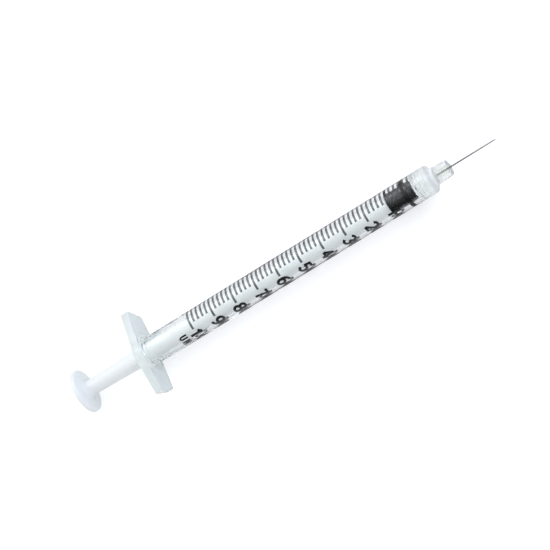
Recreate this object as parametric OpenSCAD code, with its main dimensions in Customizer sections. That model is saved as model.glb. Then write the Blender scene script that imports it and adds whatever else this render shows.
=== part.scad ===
// One-millilitre insulin syringe with a fixed needle, plunger fully home.
// The axis is X with the needle towards +X, the finger wings lie along Y, and the zero line is at x = 0.

/* [Barrel] */
// Outer diameter of the barrel
barrel_d = 6.4; // [6:0.1:7.5]
// Diameter of the bore
bore_d = 4.7; // [4.4:0.1:4.9]
// Length of the printed scale, from the zero line to the full line
scale_len = 57.6; // [45:0.1:70]
// Plain length between the full line and the finger flange
grip_len = 12.4; // [9:0.1:20]
// Length from the end of the bore to the seam with the needle hub
end_wall = 0.75; // [0.5:0.05:1.2]
// Room between the zero line and the end of the bore
dead_len = 0.3; // [0.2:0.05:0.6]
// Radius of the fillet where the barrel leaves the flange
root_r = 0.6; // [0.3:0.1:1]
// Height of the ridge in the bore that keeps the stopper in
ridge_rise = 0.13; // [0.08:0.01:0.2]
// Width of that ridge along the bore
ridge_w = 0.9; // [0.5:0.1:1.5]
// Distance from the back of the flange to the middle of that ridge
ridge_at = 2.2; // [1.5:0.1:4]
// Chamfer at the back mouth of the bore
mouth_chamfer = 0.3; // [0.1:0.05:0.5]

/* [Nozzle] */
// Diameter of the nozzle at its root
nozzle_d = 4; // [3.2:0.1:4.6]
// Length of the nozzle
nozzle_len = 2.8; // [2:0.1:4]
// How much smaller the nozzle is at its tip
nozzle_taper = 0.14; // [0:0.02:0.3]
// Diameter of the channel through the nozzle
channel_d = 0.9; // [0.6:0.1:1.4]

/* [Finger flange] */
// Length of the flange from wing tip to wing tip, at its upper corners
flange_len = 19.8; // [16:0.1:24]
// Length of the flange along its flatter, lower side
flange_low_len = 18; // [14:0.1:22]
// Height of the wing tips' upper corners above the axis
tip_top_h = 2.5; // [1.5:0.1:3.2]
// Depth of the wing tips' lower corners below the axis
tip_low_h = 3.4; // [2:0.1:3.5]
// Rim between the root fillet and the peak of the flange's upper side
peak_rim = 1.15; // [0.6:0.05:2.5]
// Rim between the root fillet and the middle of the flange's lower side
low_rim = 0.25; // [0.2:0.05:1.5]
// Thickness of the flange
flange_t = 1.95; // [1.2:0.05:2.6]
// Radius of the rounded edges of the flange
flange_edge_r = 0.2; // [0.1:0.02:0.36]
// Radius of the flange's corners, seen along the barrel
flange_corner_r = 0.42; // [0.4:0.02:1]

/* [Needle hub] */
// Length of the hub's body, from the seam to its front edge
hub_len = 3; // [2.4:0.1:6]
// Length of the hub's sloping shoulder
shoulder_len = 0.85; // [0.5:0.05:2]
// Diameter of the nose where it leaves the shoulder
nose_base_d = 4.06; // [3:0.02:5]
// Diameter of the nose at its front
nose_tip_d = 3.54; // [2.4:0.02:3.8]
// Length of the nose
nose_len = 3.85; // [2:0.05:6]
// Rounding of the nose's front edge
nose_edge_r = 0.2; // [0.05:0.05:0.4]
// Diameter of the hole that the needle is glued into
glue_d = 1.1; // [0.7:0.05:1.6]
// Radial play between the nozzle and the hub's socket
socket_play = 0.02; // [0.01:0.01:0.05]

/* [Needle] */
// Outer diameter of the needle tube
needle_d = 0.33; // [0.25:0.01:0.5]
// Inner diameter of the needle tube
lumen_d = 0.18; // [0.1:0.01:0.2]
// Length of the needle in front of the hub
needle_free = 11.6; // [6:0.1:16]
// Length of the needle inside the hub
needle_held = 4.3; // [3:0.1:4.6]
// Slope of the first grind of the point, in degrees
grind_angle = 13; // [9:1:20]
// Slope of the two side grinds, in degrees
lancet_angle = 20; // [15:1:30]
// Turn of the two side grinds about the axis, in degrees
lancet_turn = 48; // [35:1:60]
// Height of the bead of adhesive round the needle
bead_h = 0.3; // [0.1:0.05:0.6]

/* [Plunger rod] */
// Radial room between the rod and the bore
rod_room = 0.25; // [0.2:0.01:0.5]
// How much thinner the rod is where it meets the thumb disc
rod_taper = 0.7; // [0:0.1:0.9]
// Clear length between the flange and the thumb disc
thumb_gap = 15.45; // [10:0.05:25]
// Diameter of the thumb disc
thumb_d = 10.24; // [8:0.01:14]
// Thickness of the thumb disc
thumb_t = 1.15; // [0.9:0.05:2]
// Rounding of the rim of the thumb disc
thumb_edge_r = 0.36; // [0.1:0.02:0.44]
// Radius of the fillet between the rod and the thumb disc
thumb_root_r = 0.8; // [0.3:0.1:1.5]

/* [Stopper] */
// Length of the stopper behind the zero line
stopper_len = 6.4; // [6:0.1:8]
// Radial play of the ribs in the bore
rib_play = 0.03; // [0.01:0.01:0.08]
// Width of the front rib
front_rib_w = 1.25; // [0.8:0.05:1.6]
// Length of the rounded front, before the front rib
front_cone_len = 1.25; // [1:0.05:1.8]
// Width of the back rib
back_rib_w = 0.85; // [0.6:0.05:1.2]
// Depth of the waist between the ribs
waist_depth = 0.08; // [0.06:0.01:0.2]
// How much smaller the front is than the waist
front_cone_fall = 0.4; // [0.1:0.02:0.5]
// Thickness of the rubber round the rod's head
stopper_wall = 0.71; // [0.55:0.01:0.8]
// Diameter of the neck that carries the rod's head
neck_d = 1.9; // [1.4:0.1:2.1]
// Length of that neck
neck_len = 1.3; // [1:0.1:1.6]
// Length of the rod's head, without its tip
head_len = 1; // [0.6:0.1:1.4]
// Length of the tip of the rod's head
head_tip_len = 0.7; // [0.4:0.1:1]
// Play between the rod's head and the rubber
head_play = 0.05; // [0.03:0.01:0.08]

/* [Printed scale] */
// Number of steps on the scale
steps = 50; // [10:10:100]
// Steps from one long line to the next
steps_per_long = 5; // [5:5:10]
// What a long line counts for
count_per_long = 10; // [1:1:10]
// Width of a printed line
line_w = 0.52; // [0.2:0.02:0.6]
// Thickness of the print
ink_t = 0.03; // [0.02:0.01:0.06]
// Play between the print and the barrel, so that the two stay separate solids
ink_play = 0.01; // [0.005:0.005:0.02]
// Angle round the barrel where every line starts, from the top, in degrees
line_from = -60; // [-110:1:-50]
// Angle where the long lines end, in degrees
long_to = 33; // [10:1:36]
// Angle where the short lines end, in degrees
short_to = 9; // [-20:1:12]
// Height of the numerals, along the barrel
numeral_h = 3.3; // [2.4:0.1:4.4]
// Width of one numeral, round the barrel
numeral_w = 2; // [1.4:0.1:2.2]
// Width of the strokes of the numerals
stroke_w = 0.62; // [0.3:0.02:0.64]
// Gap between the numerals of one number
numeral_gap = 0.16; // [0.1:0.02:0.5]
// Angle where the numerals start, in degrees
numeral_from = 40; // [39:1:50]
// Height of the small unit letters
unit_h = 2; // [1:0.1:2.2]
// Width of one unit letter, round the barrel
unit_w = 1.15; // [0.6:0.05:1.3]
// Gap between the unit letters
unit_gap = 0.3; // [0.1:0.05:0.6]
// Width of the strokes of the unit letters
unit_stroke_w = 0.4; // [0.16:0.02:0.4]
// Angle where the unit letters start, in degrees
unit_from = 32; // [30:1:50]
// Distance from the full line to the middle of the unit letters
unit_at = 3.1; // [2.9:0.1:5]

/* [Hidden] */
$fn = 96;
// How far a cut runs past the face that it opens
cut = 0.5;
// How far joined solids run into each other
bite = 0.05;
// Flat steps in a rounded edge and in a rounded corner
edge_steps = 3;
corner_steps = 4;

barrel_r = barrel_d / 2;
bore_r = bore_d / 2;
// Places along the axis
flange_front = -scale_len - grip_len;
flange_back = flange_front - flange_t;
bore_end = dead_len;
seam = bore_end + end_wall;
nozzle_tip = seam + nozzle_len;
hub_edge = seam + hub_len;
shoulder_end = hub_edge + shoulder_len;
nose_front = shoulder_end + nose_len;
needle_back = nose_front - needle_held;
needle_point = nose_front + needle_free;
thumb_front = flange_back - thumb_gap;
thumb_back = thumb_front - thumb_t;
ridge_x = flange_back + ridge_at;
stopper_back = -stopper_len;

// Corners of the flange, as [y, z], in the order that goes from +Y to +Z
flange_corners = [[flange_len / 2, tip_top_h], [0, barrel_r + root_r + peak_rim],
    [-flange_len / 2, tip_top_h], [-flange_low_len / 2, -tip_low_h],
    [0, -barrel_r - root_r - low_rim], [flange_low_len / 2, -tip_low_h]];

nozzle_root_r = nozzle_d / 2;
nozzle_tip_r = nozzle_root_r - nozzle_taper / 2;
glue_r = glue_d / 2;
needle_r = needle_d / 2;
// Foot and top of the bead of adhesive, as shares of the glue hole and of the bead's height
bead_foot_share = 0.9;
bead_top_share = 0.25;
// How far the side grinds start from the point, as a share of their length
lancet_share = 0.2;

rib_r = bore_r - rib_play;
waist_r = rib_r - waist_depth;
front_r = waist_r - front_cone_fall;
front_edge_r = front_cone_fall / 2;
back_rib_chamfer = waist_depth / 2;
rod_r = bore_r - rod_room;
rod_back_r = rod_r - rod_taper / 2;
neck_r = neck_d / 2;
head_r = waist_r - stopper_wall;
head_tip_share = 0.45;
head_tip_r = head_r * head_tip_share;
neck_front = stopper_back + neck_len;
head_front = neck_front + head_len;

steps_long = steps / steps_per_long;
step_len = scale_len / steps;
ink_r = barrel_r + ink_play;
// A stroke closes on itself if its ends are this near, in shares of the character's size
loop_share = 0.3;
loop_least = 12;
// The outer corner of a sharp bend in a stroke reaches out no further than this allows
corner_share = 0.5;

// Turns what stands along Z so that it lies along X
module along_x() {
    rotate([0, 90, 0]) children();
}

// A solid of revolution about X, from an outline of [radius, place along X] points
module turned(outline) {
    along_x() rotate_extrude() polygon(outline);
}

// A round hole or pin about X between two places, with a radius at each
module rod_x(from, to, r1, r2) {
    along_x() translate([0, 0, from]) cylinder(h = to - from, r1 = r1, r2 = r2);
}

// A ring with a quarter-round hollow, which fills the corner between a face and a round of radius r.
// It stands on the face at x = at and reaches towards the side that dir names, 1 or -1.
module root_fillet(r, at, fillet, dir) {
    along_x() rotate_extrude() difference() {
        translate([r - bite, min(at - bite * dir, at + fillet * dir)]) square([fillet + bite, fillet + bite]);
        translate([r + fillet, at + fillet * dir]) circle(fillet);
    }
}

// Unit direction from p to q, and the same turned a quarter left
function direction(p, q) = (q - p) / norm(q - p);
function quarter_left(v) = [-v[1], v[0]];

// Outline of the flange in the plane across the axis, drawn in by the amount inset.
// Each corner is an arc that goes from one edge's outward direction to the next one's.
function flange_outline(inset) =
    let(n = len(flange_corners))
    [for (i = [0:n - 1])
        let(c = flange_corners[i],
            out1 = -quarter_left(direction(flange_corners[(i + n - 1) % n], c)),
            out2 = -quarter_left(direction(c, flange_corners[(i + 1) % n])),
            centre = c - (out1 + out2) * flange_corner_r / (1 + out1 * out2),
            from = atan2(out1[1], out1[0]),
            turn = acos(out1 * out2))
        for (k = [0:corner_steps])
            let(t = from + turn * k / corner_steps)
            centre + (flange_corner_r - inset) * [cos(t), sin(t)]];

// Finger flange: a long six-sided plate with a peaked upper side and a nearly flat lower side
module flange_plate() {
    e = flange_edge_r;
    half_t = flange_t / 2;
    turns = [for (i = [-edge_steps:edge_steps]) 90 * i / edge_steps];
    levels = concat([for (t = turns) if (t <= 0) [e * (1 - cos(t)), e * (1 + sin(t))]],
        [for (t = turns) if (t >= 0) [e * (1 - cos(t)), flange_t - e * (1 - sin(t))]]);
    n = len(flange_outline(0));
    top = (len(levels) - 1) * n;
    points = [for (l = levels) each [for (p = flange_outline(l[0])) [flange_back + l[1], p[0], p[1]]]];
    sides = [for (k = [0:len(levels) - 2], i = [0:n - 1])
        let(j = (i + 1) % n) [k * n + i, (k + 1) * n + i, (k + 1) * n + j, k * n + j]];
    polyhedron(points, concat(sides, [[for (i = [0:n - 1]) i]], [[for (i = [0:n - 1]) top + n - 1 - i]]));
}

// Clear barrel with its flange, end wall and nozzle
module barrel() {
    ridge_half = ridge_w / 2;
    ridge_r = bore_r - ridge_rise;
    color([0.86, 0.92, 0.95, 0.35]) difference() {
        union() {
            rod_x(flange_front - flange_t / 2, seam, barrel_r, barrel_r);
            flange_plate();
            root_fillet(barrel_r, flange_front, root_r, 1);
            rod_x(seam - bite, nozzle_tip, nozzle_root_r + bite * nozzle_taper / 2 / nozzle_len, nozzle_tip_r);
        }
        rod_x(ridge_x + ridge_half, bore_end, bore_r, bore_r);
        rod_x(ridge_x, ridge_x + ridge_half, ridge_r, bore_r);
        rod_x(ridge_x - ridge_half, ridge_x, bore_r, ridge_r);
        rod_x(flange_back - cut, ridge_x - ridge_half, bore_r, bore_r);
        rod_x(flange_back - cut, flange_back + mouth_chamfer, bore_r + mouth_chamfer + cut, bore_r);
        rod_x(bore_end - cut, nozzle_tip + cut, channel_d / 2, channel_d / 2);
    }
}

// Clear hub, pressed over the nozzle, with a sloping shoulder and a tapered nose
module needle_hub() {
    nose_base_r = nose_base_d / 2;
    nose_tip_r = nose_tip_d / 2;
    e = nose_edge_r;
    color([0.88, 0.94, 0.96, 0.35]) difference() {
        union() {
            turned([[0, seam], [barrel_r, seam], [barrel_r, hub_edge], [nose_base_r, shoulder_end],
                [nose_tip_r, nose_front - e], [nose_tip_r - e, nose_front - e], [0, nose_front - e]]);
            along_x() rotate_extrude() {
                translate([nose_tip_r - e, nose_front - e]) intersection() {
                    circle(e);
                    square(e);
                }
                translate([0, nose_front - e - bite]) square([nose_tip_r - e, e + bite]);
            }
        }
        rod_x(seam - cut, seam, nozzle_root_r + socket_play, nozzle_root_r + socket_play);
        rod_x(seam - bite, nozzle_tip, nozzle_root_r + socket_play, nozzle_tip_r + socket_play);
        rod_x(nozzle_tip - bite, nose_front + cut, glue_r, glue_r);
    }
}

// Cured adhesive between the hub and the needle, with a small bead at the front
module adhesive() {
    bead_foot_r = glue_r * bead_foot_share;
    bead_top_r = needle_r + bead_h * bead_top_share;
    glue_back = needle_back + bead_h;
    color([0.78, 0.84, 0.78, 0.8]) difference() {
        turned([[0, glue_back], [glue_r, glue_back], [glue_r, nose_front], [bead_foot_r, nose_front],
            [bead_top_r, nose_front + bead_h], [0, nose_front + bead_h]]);
        rod_x(glue_back - cut, nose_front + bead_h + cut, needle_r, needle_r);
    }
}

// A wedge of space whose lower face slopes up from the needle's edge, to grind the point with
module grind(angle, turn, back_off) {
    size = needle_free / 2;
    rotate([turn, 0, 0]) translate([needle_point - back_off, 0, -needle_r])
        rotate([0, angle, 0]) translate([-size, -size / 2, 0]) cube([2 * size, size, size]);
}

// Needle tube with its lumen and a point ground on three faces
module cannula() {
    lancet_back = needle_d / tan(lancet_angle) * lancet_share;
    color([0.7, 0.71, 0.72]) difference() {
        rod_x(needle_back, needle_point, needle_r, needle_r);
        rod_x(needle_back - cut, needle_point + cut, lumen_d / 2, lumen_d / 2);
        grind(grind_angle, 0, 0);
        grind(lancet_angle, lancet_turn, -lancet_back);
        grind(lancet_angle, -lancet_turn, -lancet_back);
    }
}

// The rod's neck and head, made larger by the play for the hollow in the rubber
module rod_head(play, from) {
    turned([[0, from], [neck_r + play, from], [neck_r + play, neck_front - play],
        [head_r + play, neck_front - play], [head_r + play, head_front + play],
        [head_tip_r + play, head_front + head_tip_len + play], [0, head_front + head_tip_len + play]]);
}

// Black rubber stopper with two ribs, a waist and a hollow for the rod's head
module stopper() {
    c = back_rib_chamfer;
    front_rib_front = -front_cone_len;
    front_rib_back = front_rib_front - front_rib_w;
    back_rib_front = stopper_back + back_rib_w;
    e = front_edge_r;
    color([0.08, 0.09, 0.09]) difference() {
        turned([[0, stopper_back], [rib_r - c, stopper_back], [rib_r, stopper_back + c],
            [rib_r, back_rib_front - c], [waist_r, back_rib_front + c],
            [waist_r, front_rib_back - c], [rib_r, front_rib_back + c],
            [rib_r, front_rib_front - c], [waist_r, front_rib_front + c],
            [front_r + e, -e], [front_r, 0], [0, 0]]);
        rod_head(head_play, stopper_back - cut);
    }
}

// Milky rod with its thumb disc at the back and its head inside the stopper
module plunger_rod() {
    thumb_r = thumb_d / 2;
    e = thumb_edge_r;
    shoulder = stopper_back - head_play;
    color([0.93, 0.95, 0.96]) union() {
        rod_x(thumb_front - thumb_t / 2, flange_back, rod_back_r, rod_r);
        rod_x(flange_back, shoulder, rod_r, rod_r);
        rod_head(0, shoulder - bite);
        root_fillet(rod_back_r, thumb_front, thumb_root_r, 1);
        along_x() rotate_extrude() {
            translate([0, thumb_back + e]) square([thumb_r, thumb_t - 2 * e]);
            translate([0, thumb_back]) square([thumb_r - e, thumb_t]);
            for (x = [thumb_back + e, thumb_front - e])
                translate([thumb_r - e, x]) intersection() {
                    circle(e);
                    translate([0, -e]) square([e, 2 * e]);
                }
        }
    }
}

// A printed line round part of the barrel, centred at x = at
module ring_line(at, to) {
    along_x() rotate([0, 0, 180 + line_from]) rotate_extrude(angle = to - line_from)
        translate([ink_r, at - line_w / 2]) square([ink_t, line_w]);
}

// Long lines, one for each numeral and one at zero
module long_lines() {
    color([0.2, 0.21, 0.22])
        for (i = [0:steps_long])
            ring_line(-i * steps_per_long * step_len, long_to);
}

// Short lines between the long ones
module short_lines() {
    color([0.2, 0.21, 0.22])
        for (i = [1:steps])
            if (i % steps_per_long != 0)
                ring_line(-i * step_len, short_to);
}

// Points of an arc about [cx, cy], from angle a to angle b in n steps
function arc(cx, cy, rx, ry, a, b, n) =
    [for (i = [0:n]) let(t = a + (b - a) * i / n) [cx + rx * cos(t), cy + ry * sin(t)]];

// Strokes of each character, in shares of its width and height, with the origin at its lower left
glyph_shares = [
    ["0", [arc(0.5, 0.5, 0.5, 0.5, 0, 345, 23)]],
    ["1", [[[-0.1, 0.74], [0.18, 0.83], [0.38, 1]], [[0.38, 1.06], [0.38, -0.06]]]],
    ["2", [concat(arc(0.5, 0.7, 0.47, 0.3, 165, -30, 9), [[0.04, 0]]), [[-0.02, 0], [1.04, 0]]]],
    ["3", [arc(0.47, 0.745, 0.44, 0.255, 160, -90, 10), arc(0.47, 0.25, 0.5, 0.25, 90, -160, 11)]],
    ["4", [[[0.74, -0.06], [0.74, 1]], [[0.74, 0.98], [0.02, 0.27]], [[-0.02, 0.27], [1.08, 0.27]]]],
    ["5", [[[0.94, 1], [0.18, 1], [0.09, 0.5]], arc(0.46, 0.3, 0.5, 0.3, 138, -155, 13)]],
    ["6", [arc(0.5, 0.3, 0.47, 0.3, 0, 345, 17), arc(0.75, 0.5, 0.72, 0.5, 195, 78, 8)]],
    ["7", [[[-0.02, 1], [0.98, 1]], [[0.96, 1], [0.56, 0.56], [0.36, -0.06]]]],
    ["8", [arc(0.5, 0.755, 0.42, 0.245, 0, 345, 15), arc(0.5, 0.26, 0.5, 0.26, 0, 345, 17)]],
    ["9", [arc(0.5, 0.7, 0.47, 0.3, 0, 345, 17), arc(0.25, 0.5, 0.72, 0.5, 15, -102, 8)]],
    ["U", [concat([[0.05, 1.1]], arc(0.5, 0.36, 0.45, 0.36, 180, 360, 8), [[0.95, 1.1]])]],
    ["N", [[[0.05, -0.1], [0.05, 1.1]], [[0.05, 1], [0.95, 0]], [[0.95, -0.1], [0.95, 1.1]]]],
    ["I", [[[0.5, -0.1], [0.5, 1.1]]]],
    ["T", [[[0.5, -0.1], [0.5, 1]], [[-0.05, 1], [1.05, 1]]]],
    ["S", [concat(arc(0.5, 0.76, 0.44, 0.24, 30, 270, 9), arc(0.5, 0.24, 0.44, 0.24, 90, -150, 9))]]];

// Sideways step at point i of a stroke, longer at a corner so that the stroke keeps its width
function side_step(pts, i, closed) =
    let(n = len(pts),
        before = i > 0 ? i - 1 : (closed ? n - 1 : 0),
        after = i < n - 1 ? i + 1 : (closed ? 0 : n - 1),
        d1 = before == i ? direction(pts[i], pts[after]) : direction(pts[before], pts[i]),
        d2 = after == i ? d1 : direction(pts[i], pts[after]),
        m = direction([0, 0], quarter_left(d1 + d2)))
    m / max(m * quarter_left(d1), corner_share);

// One stroke, width wide along the points pts. A loop is a ring with a hole.
module stroke(pts, width, loop) {
    n = len(pts);
    steps_out = [for (i = [0:n - 1]) side_step(pts, i, loop) * width / 2];
    left = [for (i = [0:n - 1]) pts[i] + steps_out[i]];
    right = [for (i = [0:n - 1]) pts[i] - steps_out[i]];
    if (loop) difference() {
        polygon(right);
        polygon(left);
    }
    else polygon(concat(left, [for (i = [0:n - 1]) right[n - 1 - i]]));
}

// One character, drawn flat: x from 0 to width, y from -height / 2 to height / 2
module glyph(c, width, height, thick) {
    strokes = glyph_shares[search([c], glyph_shares)[0]][1];
    w = width - thick;
    h = height - thick;
    for (line = strokes) {
        last = len(line) - 1;
        loop = last > loop_least && norm(line[0] - line[last]) < loop_share;
        stroke([for (p = line) [thick / 2 + p[0] * w, (p[1] - 1 / 2) * h]], thick, loop);
    }
}

// One character printed on the barrel, its middle at x = at and its left side at the angle from
module character(c, width, height, thick, at, from) {
    half_turn = width / 2 / barrel_r * 180 / PI;
    along_x() rotate([0, 0, 180 + from + half_turn]) translate([0, 0, at]) intersection() {
        rotate([0, 0, -2 * half_turn]) rotate_extrude(angle = 4 * half_turn)
            translate([ink_r, -height]) square([ink_t, 2 * height]);
        rotate([90, 0, 90]) linear_extrude(barrel_d) translate([-width / 2, 0])
            glyph(c, width, height, thick);
    }
}

// Characters side by side round the barrel
module word(text_line, width, gap, height, thick, at, from) {
    pitch = (width + gap) / barrel_r * 180 / PI;
    for (i = [0:len(text_line) - 1])
        character(text_line[i], width, height, thick, at, from + i * pitch);
}

// Numerals of the long lines
module numerals() {
    color([0.08, 0.09, 0.09])
        for (i = [1:steps_long])
            word(str(i * count_per_long), numeral_w, numeral_gap, numeral_h, stroke_w,
                -i * steps_per_long * step_len, numeral_from);
}

// Small letters that name what the numerals count
module unit_letters() {
    color([0.25, 0.25, 0.24])
        word("UNITS", unit_w, unit_gap, unit_h, unit_stroke_w, -scale_len - unit_at, unit_from);
}

barrel();
needle_hub();
adhesive();
cannula();
stopper();
plunger_rod();
long_lines();
short_lines();
numerals();
unit_letters();
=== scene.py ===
"""Looks of a one-millilitre insulin syringe: clear barrel and hub, milky rod, black stopper, fine needle.

Lengths are written in millimetres and turned into metres by mm(). Places along the axis come from the
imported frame, whose origin is on the axis at the zero line, with +X towards the needle's point. Among
the sizes, a name that ends in _r is a radius, and one that ends in _back, _front, _at, _end or _tip is a
place on the axis.
"""
import math

import bmesh
import bpy
from mathutils import Matrix, Vector


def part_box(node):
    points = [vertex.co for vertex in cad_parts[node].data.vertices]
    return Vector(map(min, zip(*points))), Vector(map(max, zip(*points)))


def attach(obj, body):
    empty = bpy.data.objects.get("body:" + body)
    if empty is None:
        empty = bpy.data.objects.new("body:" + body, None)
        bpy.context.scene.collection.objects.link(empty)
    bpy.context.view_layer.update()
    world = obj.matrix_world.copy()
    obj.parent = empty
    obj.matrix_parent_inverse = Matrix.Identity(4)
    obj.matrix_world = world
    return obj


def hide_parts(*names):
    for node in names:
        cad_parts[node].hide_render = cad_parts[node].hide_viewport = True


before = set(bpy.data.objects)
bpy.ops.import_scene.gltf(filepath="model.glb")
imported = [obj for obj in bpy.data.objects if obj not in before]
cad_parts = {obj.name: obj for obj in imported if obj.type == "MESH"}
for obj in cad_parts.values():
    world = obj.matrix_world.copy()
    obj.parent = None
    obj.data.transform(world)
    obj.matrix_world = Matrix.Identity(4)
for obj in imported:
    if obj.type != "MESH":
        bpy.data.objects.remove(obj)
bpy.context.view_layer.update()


def mm(length):
    return length / 1000


# Boxes of the CAD's pieces, each its lowest and its highest corner
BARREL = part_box("barrel")
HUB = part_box("needle_hub")
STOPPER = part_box("stopper")
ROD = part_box("plunger_rod")
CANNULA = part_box("cannula")

# Fineness of the meshes
ROUND = 192            # steps round the axis
ADHESIVE_ROUND = 96    # steps round the adhesive
NEEDLE_ROUND = 48      # steps round the needle
ARC_STEPS = 8          # steps in an arc
RIM_STEPS = 4          # steps in the rounding of each of the flange's edges
RIDGE_STEPS = 12       # steps along the ridge in the bore
EASE_STEPS = 5         # steps in a softened corner
EASE_SHARE = 0.45      # most of a side's length that a softened corner takes
SAME_TURN = 1e-4       # radians: turns closer than this count as one
SHARP = 32             # degrees between two faces from which their edge is shaded sharp
NEEDLE_SHARP = 25      # and on the needle

CONTACT = mm(0.004)    # how far pieces that touch run into each other, so that no air film shows

# Barrel with its flange, which is a hexagon: tips at (y, z), a peak and a low point at y = 0
barrel_r = HUB[1].y
bore_r = mm(2.35)
barrel_ease = mm(0.06)
flange_back = BARREL[0].x
flange_front = flange_back + mm(1.95)
flange_tip_top = (mm(9.9), mm(2.5))
flange_tip_low = (mm(9.0), mm(-3.4))
flange_peak = mm(4.95)
flange_low = mm(-4.05)
flange_corner_r = mm(0.42)
flange_edge_r = mm(0.2)
root_r = mm(0.6)                      # fillet between the barrel and the flange
mouth_chamfer = mm(0.3)
ridge_at = flange_back + mm(2.2)      # ridge that keeps the stopper in the bore
ridge_half = mm(0.45)                 # half of its length
ridge_rise = mm(0.13)
bore_end = mm(0.3)
seam = HUB[0].x                       # where the hub starts
nozzle_tip = BARREL[1].x
nozzle_root_r = mm(2.0)
nozzle_tip_r = mm(1.93)
channel_r = mm(0.45)
wall_hazy_at = flange_front + mm(0.1)     # from here to the next place the plastic turns clear
wall_clear_at = flange_front + mm(1.2)
wing_clear_r = mm(3.2)                    # in the flange it turns hazy from this radius to the next
wing_hazy_r = mm(5.2)

# Hub
hub_edge = seam + mm(3.0)
hub_ease = mm(0.16)
rim_r = barrel_r - mm(0.03)           # the hub's back rim, drawn in a little
rim_front = seam + mm(0.05)
shoulder_end = hub_edge + mm(0.85)
nose_front = HUB[1].x
nose_base_r = mm(2.03)
nose_tip_r = mm(1.77)

# Needle and the adhesive round it
needle_back = CANNULA[0].x
needle_point = CANNULA[1].x
needle_r = CANNULA[1].y
needle_ease = mm(0.01)
lumen_r = mm(0.09)
grind_slope = math.radians(13)        # of the point's long face
lancet_slope = math.radians(20)       # of its two short faces
lancet_turn = math.radians(48)        # how far round the needle these are turned
lancet_share = 0.2                    # how far forward they start, as a share of their length
adhesive_r = mm(0.55)
adhesive_ease = mm(0.08)
adhesive_back = needle_back + mm(0.3)
adhesive_step_at = adhesive_back + mm(0.1)
adhesive_step_r = adhesive_r * 0.7    # its width at the step, on the way to its full width
adhesive_full_at = adhesive_back + mm(0.25)
bead_front = nose_front + mm(0.3)     # bead on the nose, where the needle leaves it
bead_side_at = nose_front + mm(0.12)
bead_side_r = adhesive_r * 0.72
bead_tip_r = needle_r * 1.5

# Stopper
stopper_back = STOPPER[0].x
stopper_front = STOPPER[1].x
stopper_ease = mm(0.09)
front_r = mm(1.84)
front_bevel = mm(0.16)
waist_r = mm(2.25)
front_rib_back = mm(-2.5)
front_rib_front = mm(-1.25)
back_rib_front = stopper_back + mm(0.85)
flank_half = mm(0.085)                # half the length of a rib's sloping flank
head_play = mm(0.05)                  # room for the rod's neck and head

# Plunger rod
rod_r = mm(2.1)
rod_back_r = mm(1.75)                 # the rod is thinner towards the thumb
rod_ease = mm(0.12)
rod_shoulder = stopper_back - mm(0.05)
thumb_back = ROD[0].x
thumb_front = thumb_back + mm(1.15)
thumb_r = ROD[1].y
thumb_root_r = mm(0.8)                # fillet between the disc and the rod
thumb_edge_r = mm(0.36)
neck_r = mm(0.95)
neck_front = stopper_back + mm(1.3)
head_r = mm(1.53)
head_front = neck_front + mm(1.0)
head_tip = ROD[1].x
head_tip_r = head_r * 0.45

# Light. The sky is a soft dome with two windows in it: a dark shade, and within its width a bright soft
# box. What shows in a direction goes by two shares, each from 0 to 1: how far it points along
# BOX_TOWARD, and how far it points along the axis towards the needle.
DOME = (0.96, 0.96, 0.955)       # radiance of the dome
DOME_END = (1.05, 1.10, 1.38)    # and at the needle's end
BOX_TOWARD = (-0.33, 0.50, 0.80)
BOX_COLOUR = (0.95, 0.98, 1.04)
BOX = 5.0                        # radiance of the soft box at its middle
# Pairs of the first share and what is left of the dome's or the box's radiance there
SHADE_SHARES = [(0.33, 0.02), (0.52, 0.15), (0.65, 0.26), (0.76, 0.38), (0.86, 0.95), (0.88, 1.0)]
BOX_SHARES = [(0.33, 0.01), (0.52, 0.035), (0.65, 0.05), (0.76, 0.055), (0.86, 0.11), (0.93, 0.2),
              (0.985, 0.5), (0.9955, 0.85), (1.0, 1.0)]
# Pairs of the second share and how much of the window shows there
SHADE_WIDTH_SHARES = [(0.2, 0), (0.26, 1), (0.42, 1), (0.48, 0)]
BOX_WIDTH_SHARES = [(0.28, 0), (0.305, 1), (0.38, 1), (0.41, 0)]

# Floor
FLOOR_HALF = 1.2                 # half of its side, in metres
FLOOR_LIFT = 0.4                 # glow of the floor in what the camera sees of it
FLOOR_LIFT_CLEAR = 0.12          # and in what shows through clear plastic

# Camera, fitted to the outlines in the photo: where it is, and which way its right and back sides face
CAMERA_AT = (0.161223, -0.184801, 0.542405)
CAMERA_RIGHT = (0.805306, -0.406220, -0.431819)
CAMERA_BACK = (0.326090, -0.304794, 0.894856)
CAMERA_LENS = 185.9              # millimetres, with a sensor of 36 millimetres


# Mesh code

def eased(points, radius, loop=False):
    """The points of an outline with each corner replaced by a short curve, at most radius from it."""
    out = []
    n = len(points)
    for i, p in enumerate(points):
        if not loop and i in (0, n - 1):
            out.append(p)
            continue
        corner = Vector(p)
        before, after = Vector(points[i - 1]) - corner, Vector(points[(i + 1) % n]) - corner
        reach = min(radius, before.length * EASE_SHARE, after.length * EASE_SHARE)
        start = corner + before.normalized() * reach
        end = corner + after.normalized() * reach
        for k in range(EASE_STEPS + 1):
            t = k / EASE_STEPS
            q = start * (1 - t) ** 2 + corner * 2 * t * (1 - t) + end * t ** 2
            out.append((q.x, q.y))
    return out


def arc(cx, cr, radius, start, end):
    """Points of an arc about (cx, cr) in an outline, angles in degrees from +X towards the outside."""
    turns = [math.radians(start + (end - start) * i / ARC_STEPS) for i in range(ARC_STEPS + 1)]
    return [(cx + radius * math.cos(t), cr + radius * math.sin(t)) for t in turns]


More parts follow.
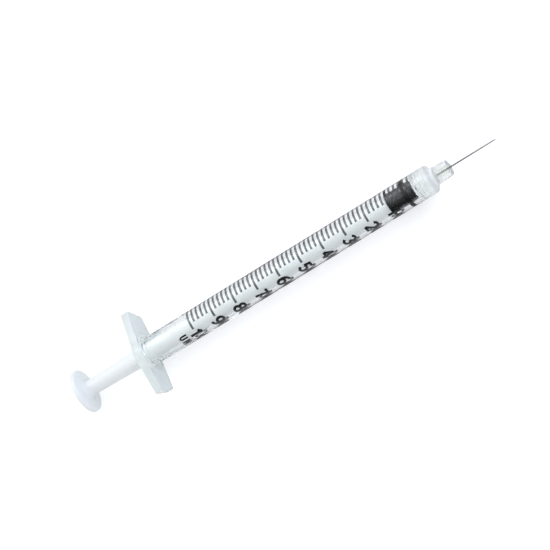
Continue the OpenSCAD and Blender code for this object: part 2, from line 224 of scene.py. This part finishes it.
def new_object(name, bm, sharp=SHARP):
    """A mesh object from bm, shaded smooth but for the edges of sharp degrees and more."""
    bmesh.ops.recalc_face_normals(bm, faces=bm.faces)
    mesh = bpy.data.meshes.new(name)
    bm.to_mesh(mesh)
    bm.free()
    mesh.shade_smooth()
    mesh.set_sharp_from_angle(angle=math.radians(sharp))
    obj = bpy.data.objects.new(name, mesh)
    bpy.context.scene.collection.objects.link(obj)
    return obj


def even_turns(count=ROUND):
    return [2 * math.pi * i / count for i in range(count)]


def ring_of_points(bm, x, radii, turns):
    """Points round the axis at x, with a radius for each turn, or one on the axis for a radius of 0."""
    if radii == 0:
        return [bm.verts.new((x, 0, 0))]
    if not isinstance(radii, list):
        radii = [radii] * len(turns)
    return [bm.verts.new((x, r * math.cos(t), r * math.sin(t))) for r, t in zip(radii, turns)]


def lofted(rings, turns, loop):
    """A skin over rings round the axis, closed from the last ring to the first if it is a loop.

    A ring is (x, radius) or (x, [a radius for each turn]).
    """
    bm = bmesh.new()
    rows = [ring_of_points(bm, x, radii, turns) for x, radii in rings]
    pairs = list(zip(rows, rows[1:])) + ([(rows[-1], rows[0])] if loop else [])
    for a, b in pairs:
        for i in range(len(turns)):
            j = (i + 1) % len(turns)
            corners = [a[i % len(a)], a[j % len(a)], b[j % len(b)], b[i % len(b)]]
            bm.faces.new(list(dict.fromkeys(corners)))
    return bm


def turned(name, outline, loop=False, count=ROUND):
    """A solid of revolution about X from an outline of (x, radius) points."""
    return new_object(name, lofted(outline, even_turns(count), loop))


# Shader code

def set_values(shader_node, **values):
    """Sets a node's properties and sockets by name, with _ for each space."""
    for key, value in values.items():
        if hasattr(shader_node, key):
            setattr(shader_node, key, value)
        else:
            shader_node.inputs[key.replace("_", " ")].default_value = value


def node(tree, kind, **values):
    """A new shader node with its properties and sockets set by name."""
    n = tree.nodes.new(kind)
    set_values(n, **values)
    return n


def link(tree, a, out, b, socket):
    tree.links.new(a.outputs[out], b.inputs[socket])


def maths(tree, operation, *terms, kind="ShaderNodeMath", clamp=False):
    """A node for a sum. Each term is a value, or a pair of a node and the name of its output."""
    n = node(tree, kind, operation=operation)
    if clamp:
        n.use_clamp = True
    for i, term in enumerate(terms):
        if isinstance(term, tuple):
            link(tree, *term, n, i)
        else:
            n.inputs[i].default_value = term
    return n


def vector_maths(tree, operation, *terms):
    return maths(tree, operation, *terms, kind="ShaderNodeVectorMath")


def noise(tree, scale, stretch=(1, 1, 1), detail=3.0, roughness=0.5):
    """Noise of a size given by scale, in lumps per metre, drawn out by stretch."""
    coords = node(tree, "ShaderNodeTexCoord")
    mapping = node(tree, "ShaderNodeMapping", Scale=stretch)
    link(tree, coords, "Object", mapping, "Vector")
    n = node(tree, "ShaderNodeTexNoise", Scale=scale, Detail=detail, Roughness=roughness)
    link(tree, mapping, "Vector", n, "Vector")
    return n


def ramp(tree, source, out, stops):
    """A colour ramp over source's output. stops are (place, colour), or (place, grey) with a number."""
    r = node(tree, "ShaderNodeValToRGB")
    while len(r.color_ramp.elements) < len(stops):
        r.color_ramp.elements.new(0.5)
    for element, (place, colour) in zip(r.color_ramp.elements, stops):
        element.position = place
        element.color = (*colour, 1) if isinstance(colour, tuple) else (colour, colour, colour, 1)
    link(tree, source, out, r, "Fac")
    return r


def mottled(tree, pattern, low, high, start=0.3, end=0.7):
    """A colour or a grey that goes from low to high while the noise goes from start to end."""
    return ramp(tree, pattern, "Fac", [(start, low), (end, high)])


def bump(tree, pattern, height, over=None):
    """A bump of that height in metres, laid over another bump if there is one."""
    b = node(tree, "ShaderNodeBump", Strength=1.0, Distance=height)
    link(tree, pattern, "Fac", b, "Height")
    if over:
        link(tree, over, "Normal", b, "Normal")
    return b


def map_range(tree, source, out, start, end, low, high, **values):
    """A value that goes from low to high while source's output goes from start to end."""
    span = node(tree, "ShaderNodeMapRange", From_Min=start, From_Max=end, To_Min=low, To_Max=high, **values)
    link(tree, source, out, span, "Value")
    return span


def along_axis(tree, start, end, low, high):
    """A value that goes smoothly from low to high between two places on the axis."""
    coords = node(tree, "ShaderNodeTexCoord")
    split = node(tree, "ShaderNodeSeparateXYZ")
    link(tree, coords, "Object", split, "Vector")
    return map_range(tree, split, "X", start, end, low, high, interpolation_type="SMOOTHSTEP")


def from_axis(tree, start, end, low, high):
    """A value that goes evenly from low to high between two distances from the axis."""
    coords = node(tree, "ShaderNodeTexCoord")
    outward = vector_maths(tree, "MULTIPLY", (coords, "Object"), Vector((0, 1, 1)))
    distance = vector_maths(tree, "LENGTH", (outward, "Vector"))
    return map_range(tree, distance, "Value", start, end, low, high)


def new_material(name, **values):
    """A material of one principled shader, with its sockets set by name."""
    mat = bpy.data.materials.new(name)
    mat.use_nodes = True
    tree = mat.node_tree
    tree.nodes.clear()
    shader = node(tree, "ShaderNodeBsdfPrincipled", **values)
    out = node(tree, "ShaderNodeOutputMaterial")
    link(tree, shader, "BSDF", out, "Surface")
    return mat, tree, shader, out


def let_light_through(tree, shader, out, colour, thin=0, scattered=0, second_image=0):
    """Light from the sky passes the piece, dimmed by colour, so that what is inside it is lit.

    thin is the share of all light that passes, scattered is the share of light scattered by other
    pieces, and second_image is how much of the piece fades where it is seen by way of a reflection.
    """
    path = node(tree, "ShaderNodeLightPath")
    passing = maths(tree, "ADD", (path, "Is Shadow Ray"), thin, clamp=True)
    for depth, share in (("Diffuse Depth", scattered), ("Glossy Depth", second_image)):
        met = maths(tree, "MINIMUM", (path, depth), 1)
        passing = maths(tree, "MULTIPLY_ADD", (met, "Value"), share, (passing, "Value"), clamp=True)
    clear = node(tree, "ShaderNodeBsdfTransparent", Color=(*colour, 1))
    mix = node(tree, "ShaderNodeMixShader")
    link(tree, passing, "Value", mix, 0)
    link(tree, shader, "BSDF", mix, 1)
    link(tree, clear, "BSDF", mix, 2)
    link(tree, mix, "Shader", out, "Surface")


# Materials

def clear_plastic(name, pale, deep, sky_light, glossy, dull):
    """Clear moulded plastic: faint flow marks along the axis and a slightly uneven polish.

    pale and deep are its tints, sky_light is what it leaves of the sky's light, and glossy and dull are
    the least and the most of its roughness.
    """
    mat, tree, shader, out = new_material(name, IOR=1.49)
    flow = noise(tree, scale=260, stretch=(0.12, 1, 1), detail=2.0)
    tint = mottled(tree, flow, deep, pale)
    link(tree, tint, "Color", shader, "Base Color")
    polish = mottled(tree, noise(tree, scale=1400, stretch=(0.5, 1, 1)), glossy, dull, end=0.8)
    link(tree, polish, "Color", shader, "Roughness")
    waves = bump(tree, noise(tree, scale=420, stretch=(0.25, 1, 1), detail=2.0), height=mm(0.0003))
    link(tree, waves, "Normal", shader, "Normal")
    let_light_through(tree, shader, out, sky_light)
    return mat, tree, shader, tint


def barrel_plastic():
    """The barrel's plastic: clear in the wall and round the bore, hazy and greener in the flange."""
    mat, tree, shader, pale = clear_plastic(
        "clear_plastic", pale=(0.975, 0.985, 0.98), deep=(0.955, 0.97, 0.965),
        sky_light=(0.985, 0.99, 0.985), glossy=0.05, dull=0.085)
    wall = along_axis(tree, wall_hazy_at, wall_clear_at, low=0, high=1)
    flange_green = (0.925, 0.965, 0.945)
    thick = ramp(tree, wall, "Result", [(0.0, flange_green), (1.0, 1.0)])
    tint = vector_maths(tree, "MULTIPLY", (pale, "Color"), (thick, "Color"))
    link(tree, tint, "Vector", shader, "Base Color")
    wing = from_axis(tree, wing_clear_r, wing_hazy_r, low=0.9, high=0.45)
    clearness = maths(tree, "MAXIMUM", (wall, "Result"), (wing, "Result"))
    link(tree, clearness, "Value", shader, "Transmission Weight")
    return mat


def hub_plastic():
    """The hub's plastic: a little hazy, most where it is thickest, at the sloping shoulder."""
    mat, tree, shader, _ = clear_plastic(
        "hub_plastic", pale=(0.975, 0.99, 0.975), deep=(0.955, 0.98, 0.96),
        sky_light=(0.98, 0.985, 0.98), glossy=0.06, dull=0.14)
    clearness_by_place = [(0, 0.86), (0.4, 0.6), (0.52, 0.25), (0.66, 0.8), (1, 0.9)]
    clearness = ramp(tree, along_axis(tree, seam, nose_front, low=0, high=1), "Result",
                     clearness_by_place)
    link(tree, clearness, "Color", shader, "Transmission Weight")
    return mat


def milky_plastic(name):
    """Milky moulded plastic: light goes in a little, with soft flow marks and a satin skin."""
    mat, tree, shader, _ = new_material(name, IOR=1.5, Subsurface_Weight=0.35,
                                        Subsurface_Radius=(0.9, 1.0, 1.0), Subsurface_Scale=mm(0.8))
    flow = noise(tree, scale=320, stretch=(0.15, 1, 1), detail=4.0)
    tint = mottled(tree, flow, (0.85, 0.88, 0.86), (0.875, 0.9, 0.88), start=0.25, end=0.75)
    link(tree, tint, "Color", shader, "Base Color")
    skin = mottled(tree, noise(tree, scale=2600), 0.24, 0.38, end=0.75)
    link(tree, skin, "Color", shader, "Roughness")
    fine = bump(tree, noise(tree, scale=5200, detail=2.0), height=mm(0.0015))
    broad = bump(tree, noise(tree, scale=300, stretch=(0.3, 1, 1)), height=mm(0.01), over=fine)
    link(tree, broad, "Normal", shader, "Normal")
    return mat


def black_rubber(name):
    """Black rubber with a film of silicone oil: satin, with a fine moulded grain."""
    mat, tree, shader, _ = new_material(name, Specular_IOR_Level=0.12)
    tint = mottled(tree, noise(tree, scale=900, detail=5.0), (0.002, 0.0025, 0.0025),
                   (0.005, 0.006, 0.006), end=0.75)
    link(tree, tint, "Color", shader, "Base Color")
    oil = mottled(tree, noise(tree, scale=700), 0.2, 0.35, start=0.35)
    link(tree, oil, "Color", shader, "Roughness")
    grain = bump(tree, noise(tree, scale=6000, detail=2.0), height=mm(0.006))
    link(tree, grain, "Normal", shader, "Normal")
    return mat


def drawn_steel(name):
    """Stainless tube, polished along its length, with painted shade darkening it next to the hub and
    painted light brightening it towards the point.
    """
    mat, tree, shader, _ = new_material(name, Metallic=1.0)
    lines = noise(tree, scale=9000, stretch=(0.01, 1, 1), roughness=0.7)
    tint = mottled(tree, lines, (0.45, 0.45, 0.455), (0.6, 0.6, 0.605))
    # Painted light and shade: the steel's colour is scaled from dark next to the hub to bright at the
    # point.
    painted_light_along = along_axis(tree, nose_front, needle_point, low=0.3, high=0.9)
    shaded = vector_maths(tree, "SCALE", (tint, "Color"))
    link(tree, painted_light_along, "Result", shaded, "Scale")
    link(tree, shaded, "Vector", shader, "Base Color")
    link(tree, mottled(tree, lines, 0.18, 0.32), "Color", shader, "Roughness")
    link(tree, bump(tree, lines, height=mm(0.002)), "Normal", shader, "Normal")
    return mat


def cured_adhesive(name):
    """Adhesive set round the needle: cloudy, slightly green, with small lumps."""
    mat, tree, shader, out = new_material(name, IOR=1.5, Roughness=0.08, Transmission_Weight=0.97)
    cloud = noise(tree, scale=1800, detail=4.0)
    tint = mottled(tree, cloud, (0.90, 0.91, 0.85), (0.96, 0.965, 0.92))
    link(tree, tint, "Color", shader, "Base Color")
    link(tree, bump(tree, cloud, height=mm(0.003)), "Normal", shader, "Normal")
    let_light_through(tree, shader, out, (0.85, 0.86, 0.8))
    return mat


def printed_ink(name, dark, worn, thin, second_image):
    """Pad-printed ink with thinner specks. It shades the milky rod under it only a little.

    thin and second_image are those of let_light_through.
    """
    mat, tree, shader, out = new_material(name, Roughness=0.12)
    specks = noise(tree, scale=7000, detail=4.0, roughness=0.65)
    tint = mottled(tree, specks, dark, worn, start=0.42, end=0.72)
    link(tree, tint, "Color", shader, "Base Color")
    link(tree, bump(tree, specks, height=mm(0.0008)), "Normal", shader, "Normal")
    let_light_through(tree, shader, out, (0.99, 0.99, 0.99), thin, 1, second_image)
    return mat


CLEAR = barrel_plastic()
HUB_CLEAR = hub_plastic()
MILKY = milky_plastic("rod_plastic")
RUBBER = black_rubber("stopper_rubber")
STEEL = drawn_steel("needle_steel")
ADHESIVE = cured_adhesive("cured_adhesive")
LINE_INK = printed_ink("line_ink", dark=(0.015, 0.016, 0.018), worn=(0.04, 0.042, 0.045),
                       thin=0.4, second_image=0.7)
NUMERAL_INK = printed_ink("numeral_ink", dark=(0.009, 0.01, 0.009), worn=(0.03, 0.032, 0.03),
                          thin=0, second_image=0)


# Pieces

def dress(obj, material, body, node_name):
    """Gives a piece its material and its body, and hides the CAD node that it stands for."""
    obj.data.materials.clear()
    obj.data.materials.append(material)
    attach(obj, body)
    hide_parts(node_name)


def flange_corners():
    """The flange's rounded corners: each is its centre and the two directions that its arc joins.

    A vector's x and y here are the frame's y and z.
    """
    (top_y, top_z), (low_y, low_z) = flange_tip_top, flange_tip_low
    sharp = [Vector(p) for p in ((top_y, top_z), (0, flange_peak), (-top_y, top_z),
                                 (-low_y, low_z), (0, flange_low), (low_y, low_z))]
    corners = []
    for i, corner in enumerate(sharp):
        before = (corner - sharp[i - 1]).normalized()
        after = (sharp[(i + 1) % len(sharp)] - corner).normalized()
        out_1, out_2 = Vector((before.y, -before.x)), Vector((after.y, -after.x))
        centre = corner - (out_1 + out_2) * flange_corner_r / (1 + out_1.dot(out_2))
        start = math.atan2(out_1.y, out_1.x)
        corners.append((centre, start, start + out_1.angle(out_2)))
    return corners


def flange_radius(corners, turn, inset):
    """How far the flange's edge, drawn in by inset, is from the axis in the direction turn."""
    toward = Vector((math.cos(turn), math.sin(turn)))
    r = flange_corner_r - inset
    for centre, start, end in corners:
        along = centre.dot(toward)
        off = centre.length_squared - along ** 2
        if off < r * r:
            reach = along + math.sqrt(r * r - off)
            hit = toward * reach - centre
            past_start = (math.atan2(hit.y, hit.x) - start) % (2 * math.pi)
            if reach > 0 and past_start <= end - start:
                return reach
    reaches = []
    for centre, start, end in corners:
        side = Vector((math.cos(end), math.sin(end)))
        if toward.dot(side) > 0:
            reaches.append((centre.dot(side) + r) / toward.dot(side))
    return min(reaches)


def flange_turns(corners):
    """Even turns round the axis, with more where the flange's corners are."""
    extra = []
    for centre, start, end in corners:
        for k in range(ARC_STEPS + 1):
            a = start + (end - start) * k / ARC_STEPS
            extra.append(math.atan2(centre.y + flange_corner_r * math.sin(a),
                                    centre.x + flange_corner_r * math.cos(a)))
    turns = sorted(t % (2 * math.pi) for t in even_turns() + extra)
    return [t for i, t in enumerate(turns) if i == 0 or t - turns[i - 1] > SAME_TURN]


def barrel():
    """Barrel, flange, end wall and nozzle in one closed skin, from the bore's mouth round to it again."""
    corners = flange_corners()
    turns = flange_turns(corners)
    mouth = [(flange_back, bore_r + mouth_chamfer), (flange_back + mouth_chamfer, bore_r)]
    ridge = [(ridge_at + ridge_half * (2 * i / RIDGE_STEPS - 1),
              bore_r - ridge_rise * math.sin(math.pi * i / RIDGE_STEPS) ** 2)
             for i in range(RIDGE_STEPS + 1)]
    front = [(bore_end, bore_r), (bore_end, channel_r), (nozzle_tip, channel_r),
             (nozzle_tip, nozzle_tip_r), (seam, nozzle_root_r), (seam, barrel_r),
             (flange_front + root_r, barrel_r)]
    root = arc(flange_front + root_r, barrel_r + root_r, root_r, 270, 180)
    rings = mouth + ridge + eased([ridge[-1]] + front, barrel_ease)[1:] + root[1:]

    quarter = [math.pi / 2 * k / RIM_STEPS for k in range(RIM_STEPS + 1)]
    rim = [(flange_edge_r * (1 - math.cos(t)), flange_edge_r * (1 - math.sin(t))) for t in quarter]
    edge = [(flange_front - depth, inset) for depth, inset in rim]
    edge += [(flange_back + depth, inset) for depth, inset in reversed(rim)]
    rings += [(x, [flange_radius(corners, t, inset) for t in turns]) for x, inset in edge]
    piece = new_object("barrel_clear", lofted(rings, turns, loop=True))
    dress(piece, CLEAR, "barrel", "barrel")


def hub():
    """Clear hub: body, sloping shoulder, tapered nose, socket and needle hole."""
    back = seam - CONTACT
    outline = [(back, nozzle_root_r - CONTACT), (back, rim_r), (rim_front, barrel_r),
               (hub_edge, barrel_r), (shoulder_end, nose_base_r), (nose_front, nose_tip_r),
               (nose_front, adhesive_r), (nozzle_tip, adhesive_r), (nozzle_tip, nozzle_tip_r - CONTACT)]
    piece = turned("hub_clear", eased(outline, hub_ease, loop=True), loop=True)
    dress(piece, HUB_CLEAR, "barrel", "needle_hub")


def adhesive():
    """Adhesive in the hub's needle hole, with a small bead where the needle leaves it."""
    inner_r = needle_r - CONTACT
    outer_r = adhesive_r + CONTACT
    outline = [(adhesive_back, inner_r), (adhesive_step_at, adhesive_step_r), (adhesive_full_at, outer_r),
               (nose_front, outer_r), (bead_side_at, bead_side_r), (bead_front, bead_tip_r),
               (bead_front, inner_r)]
    piece = turned("adhesive_bead", eased(outline, adhesive_ease, loop=True), loop=True,
                   count=ADHESIVE_ROUND)
    dress(piece, ADHESIVE, "barrel", "adhesive")


def cut_off(bm, point, normal):
    """Removes what is beyond a plane and closes the cut."""
    geometry = bm.verts[:] + bm.edges[:] + bm.faces[:]
    cut = bmesh.ops.bisect_plane(bm, geom=geometry, dist=1e-8, plane_co=point, plane_no=normal,
                                 clear_outer=True)
    edges = [e for e in cut["geom_cut"] if isinstance(e, bmesh.types.BMEdge)]
    bmesh.ops.triangle_fill(bm, edges=edges, use_beauty=True, use_dissolve=False)


def cannula():
    """Needle tube with its lumen, and a point ground on one long and two short faces."""
    outline = eased([(needle_back, lumen_r), (needle_back, needle_r), (needle_point, needle_r),
                     (needle_point, lumen_r)], needle_ease, loop=True)
    bm = lofted(outline, even_turns(NEEDLE_ROUND), loop=True)
    bmesh.ops.recalc_face_normals(bm, faces=bm.faces)
    point = Vector((needle_point, 0, -needle_r))
    cut_off(bm, point, Vector((math.sin(grind_slope), 0, math.cos(grind_slope))))
    lancet_len = 2 * needle_r / math.tan(lancet_slope)
    for side in (1, -1):
        turn = Matrix.Rotation(side * lancet_turn, 3, "X")
        cut_off(bm, turn @ (point + Vector((lancet_len * lancet_share, 0, 0))),
                turn @ Vector((math.sin(lancet_slope), 0, math.cos(lancet_slope))))
    piece = new_object("needle_tube", bm, NEEDLE_SHARP)
    dress(piece, STEEL, "barrel", "cannula")


def stopper():
    """Rubber stopper. Its ribs press into the bore, and it is hollow round the rod's head."""
    rib_r = bore_r + CONTACT
    hole_r = neck_r + head_play
    pocket_r = head_r + head_play
    outside = [(stopper_front, 0), (stopper_front, front_r),
               (stopper_front - front_bevel, front_r + front_bevel),
               (front_rib_front + flank_half, waist_r), (front_rib_front - flank_half, rib_r),
               (front_rib_back + flank_half, rib_r), (front_rib_back - flank_half, waist_r),
               (back_rib_front + flank_half, waist_r), (back_rib_front - flank_half, rib_r),
               (stopper_back + flank_half, rib_r), (stopper_back, rib_r - flank_half)]
    inside = [(stopper_back, hole_r), (neck_front - head_play, hole_r),
              (neck_front - head_play, pocket_r), (head_front + head_play, pocket_r),
              (head_tip + head_play, head_tip_r), (head_tip + head_play, 0)]
    piece = turned("stopper_rubber", eased(outside + inside, stopper_ease))
    dress(piece, RUBBER, "stopper", "stopper")


def plunger_rod():
    """Milky rod: thumb disc, fillet, tapering round rod, neck and head."""
    e = thumb_edge_r
    disc = [(thumb_back, 0)] + arc(thumb_back + e, thumb_r - e, e, 180, 90)
    disc += arc(thumb_front - e, thumb_r - e, e, 90, 0)
    root = arc(thumb_front + thumb_root_r, rod_back_r + thumb_root_r, thumb_root_r, 180, 270)
    shaft = [(flange_back, rod_r), (rod_shoulder, rod_r), (rod_shoulder, neck_r), (neck_front, neck_r),
             (neck_front, head_r), (head_front, head_r), (head_tip, head_tip_r), (head_tip, 0)]
    outline = disc + root + eased([root[-1]] + shaft, rod_ease)[1:]
    piece = turned("rod_milky", outline)
    dress(piece, MILKY, "plunger", "plunger_rod")


def printed_scale():
    """The CAD's own print, in ink."""
    inks = {"long_lines": LINE_INK, "short_lines": LINE_INK, "numerals": NUMERAL_INK,
            "unit_letters": NUMERAL_INK}
    for name, ink in inks.items():
        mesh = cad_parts[name].data
        mesh.materials.clear()
        mesh.materials.append(ink)


# Stage, light and camera

def floor_paper():
    """White paper that glows in what the camera sees of it, straight or through clear plastic."""
    mat, tree, shader, out = new_material("floor_paper", Roughness=0.9, Specular_IOR_Level=0.1)
    grain = noise(tree, scale=900, detail=2.0)
    tint = mottled(tree, grain, (0.79, 0.795, 0.785), (0.80, 0.805, 0.795))
    link(tree, tint, "Color", shader, "Base Color")
    path = node(tree, "ShaderNodeLightPath")
    direct = maths(tree, "MULTIPLY", (path, "Is Camera Ray"), FLOOR_LIFT)
    lift = maths(tree, "MULTIPLY_ADD", (path, "Is Transmission Ray"), FLOOR_LIFT_CLEAR, (direct, "Value"))
    glow = node(tree, "ShaderNodeEmission")
    link(tree, lift, "Value", glow, "Strength")
    both = node(tree, "ShaderNodeAddShader")
    link(tree, shader, "BSDF", both, 0)
    link(tree, glow, "Emission", both, 1)
    link(tree, both, "Shader", out, "Surface")
    return mat


def pale_floor(level):
    """A wide level floor at that height."""
    bm = bmesh.new()
    corners = [(-1, -1), (1, -1), (1, 1), (-1, 1)]
    bm.faces.new([bm.verts.new((x * FLOOR_HALF, y * FLOOR_HALF, level)) for x, y in corners])
    floor = new_object("floor", bm)
    floor.data.materials.append(floor_paper())


def facing(tree, direction):
    """How far a ray of the sky points along a direction, from 0 for against it to 1 for along it."""
    coords = node(tree, "ShaderNodeTexCoord")
    dot = vector_maths(tree, "DOT_PRODUCT", (coords, "Generated"), Vector(direction).normalized())
    return map_range(tree, dot, "Value", start=-1, end=1, low=0, high=1)


def soft_world():
    """A soft dome, darker on one side, with a long soft box whose band of light runs along the barrel."""
    world = bpy.data.worlds.new("soft_dome")
    bpy.context.scene.world = world
    world.use_nodes = True
    tree = world.node_tree
    tree.nodes.clear()
    along, toward_box = facing(tree, (1, 0, 0)), facing(tree, BOX_TOWARD)
    dome = ramp(tree, along, "Result", [(0.0, DOME), (0.5, DOME), (1.0, DOME_END)])
    sky = node(tree, "ShaderNodeBackground")
    link(tree, dome, "Color", sky, "Color")
    windows = ((DOME, 1, SHADE_SHARES, SHADE_WIDTH_SHARES),
               (BOX_COLOUR, BOX, BOX_SHARES, BOX_WIDTH_SHARES))
    for colour, radiance, shares, width_shares in windows:
        falloff = ramp(tree, toward_box, "Result",
                       [(place, tuple(c * share for c in colour)) for place, share in shares])
        window = node(tree, "ShaderNodeBackground", Strength=radiance)
        link(tree, falloff, "Color", window, "Color")
        across = ramp(tree, along, "Result", width_shares)
        mix = node(tree, "ShaderNodeMixShader")
        link(tree, across, "Color", mix, 0)
        link(tree, sky, 0, mix, 1)
        link(tree, window, "Background", mix, 2)
        sky = mix
    out = node(tree, "ShaderNodeOutputWorld")
    link(tree, sky, "Shader", out, "Surface")


def photo_camera():
    """The photo's camera: a long lens, 63 degrees above the horizon, on the needle's side."""
    data = bpy.data.cameras.new("photo_camera")
    data.sensor_width = 36
    data.lens = CAMERA_LENS
    data.clip_start = 0.01
    data.clip_end = 10
    camera = bpy.data.objects.new("photo_camera", data)
    right = Vector(CAMERA_RIGHT).normalized()
    back = Vector(CAMERA_BACK).normalized()
    turn = Matrix((right, back.cross(right), back)).transposed().to_4x4()
    camera.matrix_world = Matrix.Translation(Vector(CAMERA_AT)) @ turn
    bpy.context.scene.collection.objects.link(camera)
    bpy.context.scene.camera = camera


def light_paths():
    """Enough turns for light that runs to and fro inside the clear walls."""
    cycles = bpy.context.scene.cycles
    cycles.max_bounces = 24
    cycles.transmission_bounces = 24
    cycles.glossy_bounces = 16


barrel()
hub()
adhesive()
cannula()
stopper()
plunger_rod()
printed_scale()

pale_floor(-thumb_r)
soft_world()
photo_camera()
bpy.context.scene.view_settings.view_transform = "Standard"
light_paths()
